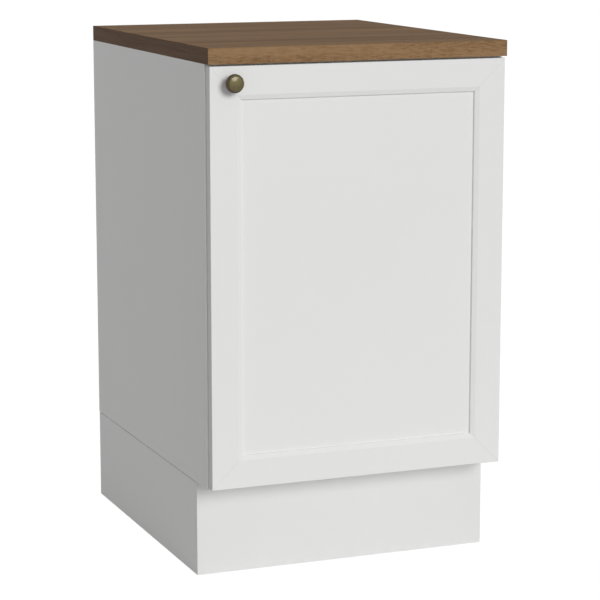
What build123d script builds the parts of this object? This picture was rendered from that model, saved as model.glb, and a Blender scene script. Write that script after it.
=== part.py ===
from build123d import *
import os

os.makedirs("parts", exist_ok=True)

# Kitchen base cabinet with one door, hinged at the right on two concealed hinges
# Lengths are in millimetres. X runs left to right seen from the front, Y front to back, Z up from the floor.

# Driving dimensions
cabinet_width = 500.0
worktop_depth = 600.0
cabinet_height = 840.0
worktop_thickness = 25.0
plinth_height = 152.5
board = 16.0
strip = 0.8
door_thickness = 16.0
door_setback = 1.5
door_gap = 1.0
door_side_reveal = 2.5
door_top_reveal = 3.0
door_bottom_reveal = 3.0
knob_reach = 24.0

# Fits shared by all fixings
fit = 0.05
tip_gap = 1.0
overrun = 1.0

# Directions
RIGHT, LEFT = (1, 0, 0), (-1, 0, 0)
BACK, FRONT = (0, 1, 0), (0, -1, 0)
UP, DOWN = (0, 0, 1), (0, 0, -1)

# Planes of the cabinet. The origin lies on the floor, at the middle of the whole depth with the knob.
x_right = cabinet_width / 2
x_left = -x_right
knob_overhang = knob_reach - door_setback
y_front = (knob_overhang - worktop_depth) / 2
y_back = y_front + worktop_depth
y_door = y_front + door_setback
y_door_back = y_door + door_thickness
y_carcass = y_door_back + door_gap
y_board = y_carcass + strip
z_floor = plinth_height + board
z_worktop = cabinet_height - worktop_thickness
inner = x_right - board
sides = {"left": -1, "right": 1}


def block(x, y, z, mode=Mode.ADD):
    """Adds or cuts the box between three pairs of faces."""
    with Locations((min(x), min(y), min(z))):
        Box(max(x) - min(x), max(y) - min(y), max(z) - min(z), align=(Align.MIN,) * 3, mode=mode)


def rod(start, direction, radius, length, mode=Mode.ADD):
    """Adds or cuts a cylinder that runs from start along direction."""
    with BuildSketch(Plane(origin=start, z_dir=direction)) as end:
        Circle(radius)
    extrude(end.sketch, amount=length, mode=mode)


def turned(start, direction, outline, mode=Mode.ADD):
    """Turns an outline of (radius, distance from start) points about the line along direction."""
    radial = Plane(origin=start, z_dir=direction).x_dir
    with BuildSketch(Plane(origin=start, x_dir=radial, z_dir=radial.cross(Vector(direction)))) as half:
        with BuildLine():
            Polyline(*outline, close=True)
        make_face()
    revolve(half.sketch, axis=Axis(start, direction), mode=mode)


def countersunk(head_radius, head_height, shank_radius, length, grown=0):
    """Outline of a screw whose head lies flush, or of its hole when grown."""
    return [
        (0, 0),
        (head_radius + grown, 0),
        (shank_radius + grown, head_height),
        (shank_radius + grown, length),
        (0, length),
    ]


def pan_head(head_radius, head_height, shank_radius, length):
    """Outline of a screw whose head stands proud of the face it starts from."""
    return [
        (0, -head_height),
        (head_radius, -head_height),
        (head_radius, 0),
        (shank_radius, 0),
        (shank_radius, length),
        (0, length),
    ]


cross_span_share = 0.9
cross_width_share = 0.25
cross_depth_share = 0.35


def cross_cut(head_middle, direction, head_radius):
    """Cuts the cross for a screwdriver into a screw's head."""
    with BuildSketch(Plane(origin=head_middle, z_dir=direction)) as cross:
        Rectangle(head_radius * cross_span_share, head_radius * cross_width_share)
        Rectangle(head_radius * cross_width_share, head_radius * cross_span_share)
    extrude(cross.sketch, amount=head_radius * cross_depth_share, mode=Mode.SUBTRACT)


def screw(start, direction, outline):
    """Turns a screw from its outline and cuts the cross into its head."""
    turned(start, direction, outline)
    head_radius, head_top = outline[1]
    cross_cut(Vector(start) + Vector(direction) * head_top, direction, head_radius)


def spread(middle, span, shares):
    """Places spread about a middle, as shares of a span."""
    return [middle + share * span for share in shares]


def finish(piece, name):
    """Names a finished piece and writes it."""
    piece.part.label = name
    export_step(piece.part, f"parts/{name}.step")


# Fixings that join the carcass boards, and where they go
carcass_screw_head_radius = 5.0
carcass_screw_head_height = 4.0
carcass_screw_radius = 3.0
carcass_screw_length = 50.0
carcass_screw_inset = 60.0
dowel_radius = 4.0
dowel_length = 30.0
dowel_face_depth = 12.0
side_middle = (y_board + y_back) / 2
side_screw_span = y_back - y_board - carcass_screw_inset * 2
carcass_screw_shares = (-0.5, 0, 0.5)
side_dowel_shares = (-0.25, 0.25)
carcass_screw_places = [
    (side * (x_right - board / 2), y, plinth_height)
    for side in sides.values()
    for y in spread(side_middle, side_screw_span, carcass_screw_shares)
]
side_dowel_places = [
    (side * (x_right - board / 2), y, z_floor - dowel_face_depth)
    for side in sides.values()
    for y in spread(side_middle, side_screw_span, side_dowel_shares)
]

# Top rails between the sides, and the cam fittings and dowels at their ends
rail_width = 90.0
back_thickness = 3.0
z_rail = z_worktop - board / 2
rail_middles = {
    "front": y_board + rail_width / 2,
    "rear": y_back - back_thickness - rail_width / 2,
}
cam_offset = 22.0
rail_dowel_offset = 24.0
cam_radius = 7.5
cam_height = 12.5
cam_reach = 24.0
cam_bolt_thread_radius = 2.5
cam_bolt_thread_length = 11.0
cam_bolt_collar_radius = 3.5
cam_bolt_collar_length = 2.0
cam_bolt_neck_radius = 2.0
cam_bolt_head_radius = 3.0
cam_bolt_head_length = 4.0
cam_bolt_bore_radius = 4.0
rail_ends = [(side, y) for side in sides.values() for y in rail_middles.values()]

# Back panel in its rebate, and its screws
back_rebate = 8.0
back_screw_head_radius = 3.0
back_screw_head_height = 1.8
back_screw_radius = 1.5
back_screw_length = 20.0
back_screw_inset = 40.0
back_screw_rows = 4
back_screw_shares = (-0.3, 0.3)
back_screw_pitch = (z_worktop - z_floor - back_screw_inset * 2) / (back_screw_rows - 1)
back_screw_places = [
    (side * (inner + back_rebate / 2), y_back, z_floor + back_screw_inset + row * back_screw_pitch)
    for side in sides.values()
    for row in range(back_screw_rows)
] + [
    (x, y_back, z)
    for x in spread(0, inner * 2, back_screw_shares)
    for z in (z_floor - back_rebate / 2, z_rail)
]

# Rows of holes for shelf pins, with the shelf at the middle row
pin_hole_radius = 2.5
pin_hole_depth = 10.0
pin_pitch = 32.0
pin_row_shares = (-2, -1, 0, 1, 2)
pin_front_inset = 37.0
pin_rear_inset = 80.0
shelf_level = 320.0
pin_collar_radius = 5.0
pin_collar_thickness = 1.0
pin_tab_width = 8.0
pin_tab_thickness = 3.5
pin_tab_reach = 8.0
z_shelf_pin = z_floor + shelf_level
pin_columns = (y_carcass + pin_front_inset, y_back - pin_rear_inset)

# Hinges: heights, and the screws of the mounting plates in the right side
hinge_end_distance = 100.0
plate_screw_pitch = 32.0
plate_screw_head_radius = 3.5
plate_screw_head_height = 2.0
plate_screw_radius = 2.5
plate_screw_length = 13.0
z_door_bottom = plinth_height + door_bottom_reveal
z_door_top = z_worktop - door_top_reveal
hinge_levels = {"lower": z_door_bottom + hinge_end_distance, "upper": z_door_top - hinge_end_distance}
y_plate = y_carcass + pin_front_inset
plate_screw_levels = [z + end * plate_screw_pitch / 2 for z in hinge_levels.values() for end in (-1, 1)]

# Side panels, standing on the bottom panel
for name, side in sides.items():
    outward = (side, 0, 0)
    with BuildPart() as side_panel:
        block((side * inner, side * x_right), (y_board, y_back), (z_floor, z_worktop))
        block(
            (side * (inner - overrun), side * (inner + back_rebate)),
            (y_back - back_thickness, y_back + overrun),
            (z_floor - overrun, z_worktop + overrun),
            Mode.SUBTRACT,
        )
        for place in carcass_screw_places:
            if place[0] * side > 0:
                rod(place, UP, carcass_screw_radius + fit, carcass_screw_length + tip_gap, Mode.SUBTRACT)
        for place in side_dowel_places:
            if place[0] * side > 0:
                rod(place, UP, dowel_radius + fit, dowel_length + tip_gap, Mode.SUBTRACT)
        for y in rail_middles.values():
            bolt_start = (side * inner, y - cam_offset, z_rail)
            dowel_start = (side * inner, y + rail_dowel_offset, z_rail)
            bolt_depth = cam_bolt_thread_length + tip_gap
            rod(bolt_start, outward, cam_bolt_thread_radius + fit, bolt_depth, Mode.SUBTRACT)
            rod(dowel_start, outward, dowel_radius + fit, dowel_face_depth, Mode.SUBTRACT)
        for place in back_screw_places:
            if place[0] * side > inner:
                rod(place, FRONT, back_screw_radius + fit, back_screw_length + tip_gap, Mode.SUBTRACT)
        for y in pin_columns:
            for share in pin_row_shares:
                hole_start = (side * inner, y, z_shelf_pin + share * pin_pitch)
                rod(hole_start, outward, pin_hole_radius, pin_hole_depth, Mode.SUBTRACT)
        if name == "right":
            for z in plate_screw_levels:
                rod((inner, y_plate, z), outward, plate_screw_radius + fit, plate_screw_length, Mode.SUBTRACT)
    finish(side_panel, f"{name}_side_panel")
    with BuildPart() as side_strip:
        block((side * inner, side * x_right), (y_carcass, y_board), (z_floor, z_worktop))
    finish(side_strip, f"{name}_side_edge_strip")

# Bottom panel, as wide as the cabinet, with the sides standing on it
bracket_screw_radius = 1.75
bracket_screw_length = 13.0
bracket_leg = 25.0
bracket_thickness = 2.0
bracket_width = 20.0
bracket_hole_distance = 15.0
bracket_screw_head_radius = 3.5
bracket_screw_head_height = 2.0
plinth_setback = 70.0
plinth_inset = 0.6
x_plinth = x_right - plinth_inset - board
y_plinth = y_front + plinth_setback
plinth_middle = (y_plinth + y_back) / 2
bracket_seats = [
    ((0, y_plinth + board), BACK),
    ((0, y_back - board), FRONT),
    ((-x_plinth, plinth_middle), RIGHT),
    ((x_plinth, plinth_middle), LEFT),
]
bracket_roof_places = [
    (x + inward[0] * bracket_hole_distance, y + inward[1] * bracket_hole_distance, plinth_height)
    for (x, y), inward in bracket_seats
]
with BuildPart() as bottom_panel:
    block((x_left, x_right), (y_board, y_back), (plinth_height, z_floor))
    block(
        (-inner - back_rebate, inner + back_rebate),
        (y_back - back_thickness, y_back + overrun),
        (z_floor - back_rebate, z_floor + overrun),
        Mode.SUBTRACT,
    )
    head_hole = countersunk(
        carcass_screw_head_radius, carcass_screw_head_height, carcass_screw_radius, board + overrun, grown=fit
    )
    for place in carcass_screw_places:
        turned(place, UP, head_hole, Mode.SUBTRACT)
    for place in side_dowel_places:
        rod(place, UP, dowel_radius + fit, dowel_length, Mode.SUBTRACT)
    for place in back_screw_places:
        if place[2] < z_floor:
            rod(place, FRONT, back_screw_radius + fit, back_screw_length + tip_gap, Mode.SUBTRACT)
    for place in bracket_roof_places:
        rod(place, UP, bracket_screw_radius + fit, bracket_screw_length, Mode.SUBTRACT)
finish(bottom_panel, "bottom_panel")

with BuildPart() as bottom_strip:
    block((x_left, x_right), (y_carcass, y_board), (plinth_height, z_floor))
finish(bottom_strip, "bottom_edge_strip")

# Top rails, lying flat between the sides under the worktop
worktop_screw_radius = 2.0
worktop_screw_head_radius = 4.0
worktop_screw_head_height = 2.5
worktop_screw_length = 30.0
worktop_screw_shares = (-0.3, 0.3)
worktop_screw_places = [
    (x, y, z_worktop - board)
    for x in spread(0, inner * 2, worktop_screw_shares)
    for y in rail_middles.values()
]
for name, y_middle in rail_middles.items():
    with BuildPart() as top_rail:
        rail_sides = (y_middle - rail_width / 2, y_middle + rail_width / 2)
        block((-inner, inner), rail_sides, (z_worktop - board, z_worktop))
        for side in sides.values():
            inward = (-side, 0, 0)
            bolt_start = (side * inner, y_middle - cam_offset, z_rail)
            dowel_start = (side * inner, y_middle + rail_dowel_offset, z_rail)
            cam_start = (side * (inner - cam_reach), y_middle - cam_offset, z_worktop - board)
            rod(bolt_start, inward, cam_bolt_bore_radius, cam_reach, Mode.SUBTRACT)
            dowel_depth = dowel_length - dowel_face_depth + tip_gap
            rod(dowel_start, inward, dowel_radius + fit, dowel_depth, Mode.SUBTRACT)
            rod(cam_start, UP, cam_radius, cam_height, Mode.SUBTRACT)
        for place in worktop_screw_places:
            if place[1] == y_middle:
                rod(place, UP, worktop_screw_radius + fit, board, Mode.SUBTRACT)
        for place in back_screw_places:
            if place[2] == z_rail and name == "rear":
                rod(place, FRONT, back_screw_radius + fit, back_screw_length + tip_gap, Mode.SUBTRACT)
    finish(top_rail, f"{name}_top_rail")

with BuildPart() as rail_strip:
    block((-inner, inner), (y_carcass, y_board), (z_worktop - board, z_worktop))
finish(rail_strip, "top_rail_edge_strip")

# Screws, dowels and cam fittings of the carcass
with BuildPart() as carcass_screws:
    carcass_screw = countersunk(
        carcass_screw_head_radius, carcass_screw_head_height, carcass_screw_radius, carcass_screw_length
    )
    for place in carcass_screw_places:
        screw(place, UP, carcass_screw)
finish(carcass_screws, "carcass_screws")

with BuildPart() as wooden_dowels:
    for place in side_dowel_places:
        rod(place, UP, dowel_radius, dowel_length)
    for side, y in rail_ends:
        dowel_end = (side * (inner + dowel_face_depth), y + rail_dowel_offset, z_rail)
        rod(dowel_end, (-side, 0, 0), dowel_radius, dowel_length)
finish(wooden_dowels, "wooden_dowels")

with BuildPart() as cam_bolts:
    bolt = [
        (0, -cam_bolt_thread_length),
        (cam_bolt_thread_radius, -cam_bolt_thread_length),
        (cam_bolt_thread_radius, 0),
        (cam_bolt_collar_radius, 0),
        (cam_bolt_collar_radius, cam_bolt_collar_length),
        (cam_bolt_neck_radius, cam_bolt_collar_length),
        (cam_bolt_neck_radius, cam_reach - cam_bolt_head_length / 2),
        (cam_bolt_head_radius, cam_reach - cam_bolt_head_length / 2),
        (cam_bolt_head_radius, cam_reach + cam_bolt_head_length / 2),
        (0, cam_reach + cam_bolt_head_length / 2),
    ]
    for side, y in rail_ends:
        turned((side * inner, y - cam_offset, z_rail), (-side, 0, 0), bolt)
finish(cam_bolts, "cam_bolts")

cam_slot_depth = 2.0
cam_slot_width = 1.2
with BuildPart() as cam_locks:
    z_cam_top = z_worktop - board + cam_height
    for side, y in rail_ends:
        x_cam = side * (inner - cam_reach)
        y_cam = y - cam_offset
        rod((x_cam, y_cam, z_worktop - board), UP, cam_radius - fit, cam_height - fit)
        neck = cam_bolt_neck_radius + fit
        block(
            (x_cam, x_cam + side * cam_radius),
            (y_cam - neck, y_cam + neck),
            (z_rail - neck, z_cam_top),
            Mode.SUBTRACT,
        )
        head = cam_bolt_head_radius + fit
        half_head = cam_bolt_head_length / 2 + fit
        block(
            (x_cam - half_head, x_cam + half_head),
            (y_cam - head, y_cam + head),
            (z_rail - head, z_cam_top),
            Mode.SUBTRACT,
        )
        block(
            (x_cam - cam_radius, x_cam + cam_radius),
            (y_cam - cam_slot_width / 2, y_cam + cam_slot_width / 2),
            (z_worktop - board, z_worktop - board + cam_slot_depth),
            Mode.SUBTRACT,
        )
finish(cam_locks, "cam_locks")

# Back panel, let into a rebate all round, and its screws
with BuildPart() as back_panel:
    block(
        (-inner - back_rebate, inner + back_rebate),
        (y_back - back_thickness, y_back),
        (z_floor - back_rebate, z_worktop),
    )
    panel_hole = countersunk(
        back_screw_head_radius, back_screw_head_height, back_screw_radius, back_thickness + overrun, grown=fit
    )
    for place in back_screw_places:
        turned(place, FRONT, panel_hole, Mode.SUBTRACT)
finish(back_panel, "back_panel")

with BuildPart() as back_panel_screws:
    back_screw = countersunk(
        back_screw_head_radius, back_screw_head_height, back_screw_radius, back_screw_length
    )
    for place in back_screw_places:
        screw(place, FRONT, back_screw)
finish(back_panel_screws, "back_panel_screws")

# Shelf on its pins
shelf_setback = 20.0
shelf_rear_gap = 2.0
shelf_half_width = inner - pin_collar_thickness
z_shelf = z_shelf_pin + pin_tab_thickness / 2
y_shelf = y_carcass + shelf_setback
with BuildPart() as shelf:
    shelf_depth = (y_shelf + strip, y_back - back_thickness - shelf_rear_gap)
    block((-shelf_half_width, shelf_half_width), shelf_depth, (z_shelf, z_shelf + board))
finish(shelf, "shelf")

with BuildPart() as shelf_strip:
    block((-shelf_half_width, shelf_half_width), (y_shelf, y_shelf + strip), (z_shelf, z_shelf + board))
finish(shelf_strip, "shelf_edge_strip")

with BuildPart() as shelf_pins:
    for side in sides.values():
        for y in pin_columns:
            wall = (side * inner, y, z_shelf_pin)
            rod(wall, (side, 0, 0), pin_hole_radius - fit, pin_hole_depth - tip_gap)
            rod(wall, (-side, 0, 0), pin_collar_radius, pin_collar_thickness)
            block(
                (side * inner, side * (inner - pin_tab_reach)),
                (y - pin_tab_width / 2, y + pin_tab_width / 2),
                (z_shelf_pin - pin_tab_thickness / 2, z_shelf_pin + pin_tab_thickness / 2),
            )
finish(shelf_pins, "shelf_pins")

# Worktop: board, laminate sheet over it, and edge strips on the three sides that show
laminate = 0.8
edge = 1.0
z_laminate = cabinet_height - laminate
with BuildPart() as worktop_board:
    block((x_left + edge, x_right - edge), (y_front + edge, y_back), (z_worktop, z_laminate))
    for x, y, z in worktop_screw_places:
        rod((x, y, z), UP, worktop_screw_radius + fit, worktop_screw_length + tip_gap, Mode.SUBTRACT)
finish(worktop_board, "worktop_board")

with BuildPart() as worktop_laminate:
    block((x_left, x_right), (y_front, y_back), (z_laminate, cabinet_height))
finish(worktop_laminate, "worktop_laminate")

with BuildPart() as worktop_front_strip:
    block((x_left, x_right), (y_front, y_front + edge), (z_worktop, z_laminate))
finish(worktop_front_strip, "worktop_front_edge")

for name, side in sides.items():
    with BuildPart() as worktop_side_strip:
        block((side * (x_right - edge), side * x_right), (y_front + edge, y_back), (z_worktop, z_laminate))
    finish(worktop_side_strip, f"worktop_{name}_edge")

with BuildPart() as worktop_screws:
    worktop_screw = pan_head(
        worktop_screw_head_radius, worktop_screw_head_height, worktop_screw_radius, worktop_screw_length
    )
    for place in worktop_screw_places:
        screw(place, UP, worktop_screw)
finish(worktop_screws, "worktop_screws")

# Plinth: four boards, mitred at the front corners, with a block in each corner
plinth_block = 28.0
plinth_block_height = 100.0
plinth_screw_radius = 2.0
plinth_screw_head_radius = 4.0
plinth_screw_head_height = 2.4
plinth_screw_length = 38.0
plinth_screw_offset = 25.0
y_plinth_inner = y_plinth + board
y_plinth_rear = y_back - board
z_plinth_middle = plinth_height / 2
plinth_corners = [(side, end) for side in sides.values() for end in (-1, 1)]
block_faces = {
    (side, end): (
        side * (x_plinth - plinth_block),
        y_plinth_inner + plinth_block if end < 0 else y_plinth_rear - plinth_block,
    )
    for side, end in plinth_corners
}
plinth_screw_places = []
for (side, end), (x_face, y_face) in block_faces.items():
    x_middle = x_face + side * plinth_block / 2
    y_middle = y_face + end * plinth_block / 2
    plinth_screw_places.append(((x_face, y_middle, z_plinth_middle + plinth_screw_offset), (side, 0, 0)))
    plinth_screw_places.append(((x_middle, y_face, z_plinth_middle - plinth_screw_offset), (0, end, 0)))
bracket_wall_places = [
    ((x, y, plinth_height - bracket_hole_distance), (-inward[0], -inward[1], 0))
    for (x, y), inward in bracket_seats
]


def plinth_holes(keep_side):
    """Cuts the screw holes whose screws run along the given direction."""
    for start, direction in plinth_screw_places:
        if direction == keep_side:
            rod(start, direction, plinth_screw_radius + fit, plinth_screw_length + tip_gap, Mode.SUBTRACT)
    for start, direction in bracket_wall_places:
        if direction == keep_side:
            rod(start, direction, bracket_screw_radius + fit, bracket_screw_length, Mode.SUBTRACT)


# A shadow groove runs along the upper outer edge of the front and side boards, under the bottom panel
x_mitre = x_plinth + board
groove_height = 1.4
groove_depth = 3.0
groove_levels = (plinth_height - groove_height, plinth_height + overrun)
with BuildPart() as plinth_front_board:
    with BuildSketch() as plan:
        with BuildLine():
            Polyline(
                (-x_mitre, y_plinth),
                (x_mitre, y_plinth),
                (x_plinth, y_plinth_inner),
                (-x_plinth, y_plinth_inner),
                close=True,
            )
        make_face()
    extrude(amount=plinth_height)
    groove_sides = (y_plinth - overrun, y_plinth + groove_depth)
    block((-x_mitre - overrun, x_mitre + overrun), groove_sides, groove_levels, Mode.SUBTRACT)
    plinth_holes(FRONT)
finish(plinth_front_board, "plinth_front_board")

with BuildPart() as plinth_rear_board:
    block((-x_plinth, x_plinth), (y_plinth_rear, y_back), (0, plinth_height))
    plinth_holes(BACK)
finish(plinth_rear_board, "plinth_rear_board")

for name, side in sides.items():
    with BuildPart() as plinth_side_board:
        with BuildSketch() as plan:
            with BuildLine():
                Polyline(
                    (side * x_mitre, y_plinth),
                    (side * x_mitre, y_back),
                    (side * x_plinth, y_back),
                    (side * x_plinth, y_plinth_inner),
                    close=True,
                )
            make_face()
        extrude(amount=plinth_height)
        groove_sides = (side * (x_mitre - groove_depth), side * (x_mitre + overrun))
        block(groove_sides, (y_plinth - overrun, y_back + overrun), groove_levels, Mode.SUBTRACT)
        plinth_holes((side, 0, 0))
    finish(plinth_side_board, f"plinth_{name}_board")

with BuildPart() as plinth_corner_blocks:
    for (side, end), (x_face, y_face) in block_faces.items():
        block(
            (x_face, x_face + side * plinth_block),
            (y_face, y_face + end * plinth_block),
            (z_plinth_middle - plinth_block_height / 2, z_plinth_middle + plinth_block_height / 2),
        )
    block_hole = countersunk(
        plinth_screw_head_radius,
        plinth_screw_head_height,
        plinth_screw_radius,
        plinth_block + overrun,
        grown=fit,
    )
    for start, direction in plinth_screw_places:
        turned(start, direction, block_hole, Mode.SUBTRACT)
finish(plinth_corner_blocks, "plinth_corner_blocks")

with BuildPart() as plinth_block_screws:
    plinth_screw = countersunk(
        plinth_screw_head_radius, plinth_screw_head_height, plinth_screw_radius, plinth_screw_length
    )
    for start, direction in plinth_screw_places:
        screw(start, direction, plinth_screw)
finish(plinth_block_screws, "plinth_block_screws")

with BuildPart() as plinth_brackets:
    for (x, y), inward in bracket_seats:
        along = Vector(inward).cross(Vector(UP))
        with BuildSketch(Plane(origin=(x, y, plinth_height), x_dir=inward, z_dir=along)) as angle:
            with BuildLine():
                Polyline(
                    (0, 0),
                    (bracket_leg, 0),
                    (bracket_leg, -bracket_thickness),
                    (bracket_thickness, -bracket_thickness),
                    (bracket_thickness, -bracket_leg),
                    (0, -bracket_leg),
                    close=True,
                )
            make_face()
        extrude(angle.sketch, amount=bracket_width / 2, both=True)
    for place in bracket_roof_places:
        rod(place, DOWN, bracket_screw_radius + fit, bracket_thickness, Mode.SUBTRACT)
    for start, direction in bracket_wall_places:
        back_off = (-direction[0], -direction[1], 0)
        rod(start, back_off, bracket_screw_radius + fit, bracket_thickness, Mode.SUBTRACT)
finish(plinth_brackets, "plinth_brackets")

with BuildPart() as plinth_bracket_screws:
    bracket_screw = pan_head(
        bracket_screw_head_radius, bracket_screw_head_height, bracket_screw_radius, bracket_screw_length
    )
    for place in bracket_roof_places:
        screw(Vector(place) - Vector(UP) * bracket_thickness, UP, bracket_screw)
    for place, direction in bracket_wall_places:
        screw(Vector(place) - Vector(direction) * bracket_thickness, direction, bracket_screw)
finish(plinth_bracket_screws, "plinth_bracket_screws")

# Door frame: four members of one profile, mitred at the corners
frame_flat = 43.7
bevel_width = 7.8
bevel_depth = 2.6
lip_radius = 1.5
groove_front = 6.0
groove_rear = 11.0
groove_start = 43.5
edge_radius = 0.8
x_door_left = x_left + door_side_reveal
x_door_right = x_right - door_side_reveal
frame_width = frame_flat + bevel_width
corners = [
    ("left_stile", (x_door_left, z_door_bottom), (x_door_left, z_door_top)),
    ("top_rail", (x_door_left, z_door_top), (x_door_right, z_door_top)),
    ("right_stile", (x_door_right, z_door_top), (x_door_right, z_door_bottom)),
    ("bottom_rail", (x_door_right, z_door_bottom), (x_door_left, z_door_bottom)),
]
member_profile = [
    (0, 0),
    (frame_flat, 0),
    (frame_width, bevel_depth),
    (frame_width, groove_front),
    (groove_start, groove_front),
    (groove_start, groove_rear),
    (frame_width, groove_rear),
    (frame_width, door_thickness),
    (0, door_thickness),
]

# Fixings of the door: mitre dowels, knob and its screw, soft bumpers let into its back
mitre_dowel_inset = 20.0
mitre_dowel_radius = 4.0
mitre_dowel_length = 30.0
knob_from_left = 34.5
knob_from_top = 25.0
knob_screw_radius = 2.0
knob_screw_head_radius = 4.0
knob_screw_head_height = 2.2
knob_screw_depth = 10.0
y_door_middle = y_door + door_thickness / 2
x_knob = x_door_left + knob_from_left
z_knob = z_door_top - knob_from_top
knob_screw_length = door_thickness + knob_screw_depth
bumper_radius = 4.0
bumper_recess = 1.2
bumper_squeeze = 0.2
bumper_inset = 30.0
bumper_places = [
    (x_left + board / 2, y_door_back - bumper_recess, z)
    for z in (z_door_bottom + bumper_inset, z_door_top - bumper_inset)
]
mitre_dowels_at = []
for turn in range(len(corners)):
    x, z = corners[turn][1]
    x_next, z_next = corners[turn][2]
    x_last, z_last = corners[turn - 1][1]
    ahead = Vector(x_next - x, 0, z_next - z).normalized()
    behind = Vector(x_last - x, 0, z_last - z).normalized()
    middle = Vector(x, y_door_middle, z) + (ahead + behind) * mitre_dowel_inset
    across = (ahead - behind).normalized()
    mitre_dowels_at.append((middle - across * (mitre_dowel_length / 2), across))

# Concealed hinges. Pivots lie off the cup's middle (x) and the door's back face (y) with the door closed.
cup_radius = 17.5
cup_depth = 12.5
cup_wall = 0.8
cup_edge_distance = 3.0
arm_pivot_x = -22.09
arm_pivot_y = 15.48
door_pivot_x = 10.01
door_pivot_y = -1.22
short_root_x = -6.37
short_root_y = -3.60
short_tip_x = 9.12
short_tip_y = -6.01
pin_radius = 1.0
x_cup = x_door_right - cup_edge_distance - cup_radius
y_cup_floor = y_door_back - cup_depth
pivot_a = (x_cup + arm_pivot_x, y_door_back + arm_pivot_y)
pivot_b = (x_cup + door_pivot_x, y_door_back + door_pivot_y)
pivot_c = (x_cup + short_root_x, y_door_back + short_root_y)
pivot_d = (x_cup + short_tip_x, y_door_back + short_tip_y)
flange_thickness = 1.0
flange_offset = 9.5
flange_width = 13.0
flange_height = 56.0
flange_screw_pitch = 45.0
flange_screw_radius = 1.75
flange_screw_head_radius = 3.2
flange_screw_head_height = 0.9
flange_screw_length = 13.0
flange_screw_places = [
    (x_cup - flange_offset, y_door_back + flange_thickness, z + end * flange_screw_pitch / 2)
    for z in hinge_levels.values()
    for end in (-1, 1)
]


def corner_near(sketch, x, y):
    """The corner of a sketch that lies nearest to a place on the sketch's own plane."""
    return sketch.vertices().sort_by_distance((x, y, 0))[0]


def door_member(name, start, stop):
    """Builds one member of the frame along one edge of the door, mitred at both ends."""
    along = (Vector(stop[0], 0, stop[1]) - Vector(start[0], 0, start[1])).normalized()
    inward = along.cross(Vector(FRONT))
    length = abs(stop[0] - start[0]) + abs(stop[1] - start[1])
    edge_start = Vector(start[0], y_door, start[1])
    with BuildPart() as member:
        with BuildSketch(Plane(origin=edge_start, x_dir=inward, z_dir=along)) as profile:
            with BuildLine():
                Polyline(*member_profile, close=True)
            make_face()
            fillet(corner_near(profile, 0, 0), edge_radius)
            fillet(corner_near(profile, frame_width, bevel_depth), lip_radius)
        extrude(amount=length)
        split(bisect_by=Plane(origin=edge_start, z_dir=along - inward), keep=Keep.TOP)
        split(bisect_by=Plane(origin=(stop[0], y_door, stop[1]), z_dir=-along - inward), keep=Keep.TOP)
        for place, direction in mitre_dowels_at:
            rod(place, direction, mitre_dowel_radius + fit, mitre_dowel_length, Mode.SUBTRACT)
        if name == "top_rail":
            rod((x_knob, y_door, z_knob), BACK, knob_screw_radius + fit, door_thickness, Mode.SUBTRACT)
        if name == "left_stile":
            for place in bumper_places:
                rod(place, BACK, bumper_radius + fit, bumper_recess, Mode.SUBTRACT)
        if name == "right_stile":
            for z in hinge_levels.values():
                rod((x_cup, y_cup_floor, z), BACK, cup_radius, cup_depth, Mode.SUBTRACT)
            for x, y, z in flange_screw_places:
                rod((x, y_door_back, z), FRONT, flange_screw_radius + fit, flange_screw_length, Mode.SUBTRACT)
    finish(member, f"door_{name}")


for name, start, stop in corners:
    door_member(name, start, stop)

panel_thickness = 5.0
panel_edge_gap = 1.0
with BuildPart() as door_panel:
    panel_inset = groove_start + panel_edge_gap
    block(
        (x_door_left + panel_inset, x_door_right - panel_inset),
        (y_door + groove_front, y_door + groove_front + panel_thickness),
        (z_door_bottom + panel_inset, z_door_top - panel_inset),
    )
finish(door_panel, "door_panel")

with BuildPart() as mitre_dowels:
    for place, direction in mitre_dowels_at:
        rod(place, direction, mitre_dowel_radius, mitre_dowel_length)
finish(mitre_dowels, "door_mitre_dowels")

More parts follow.
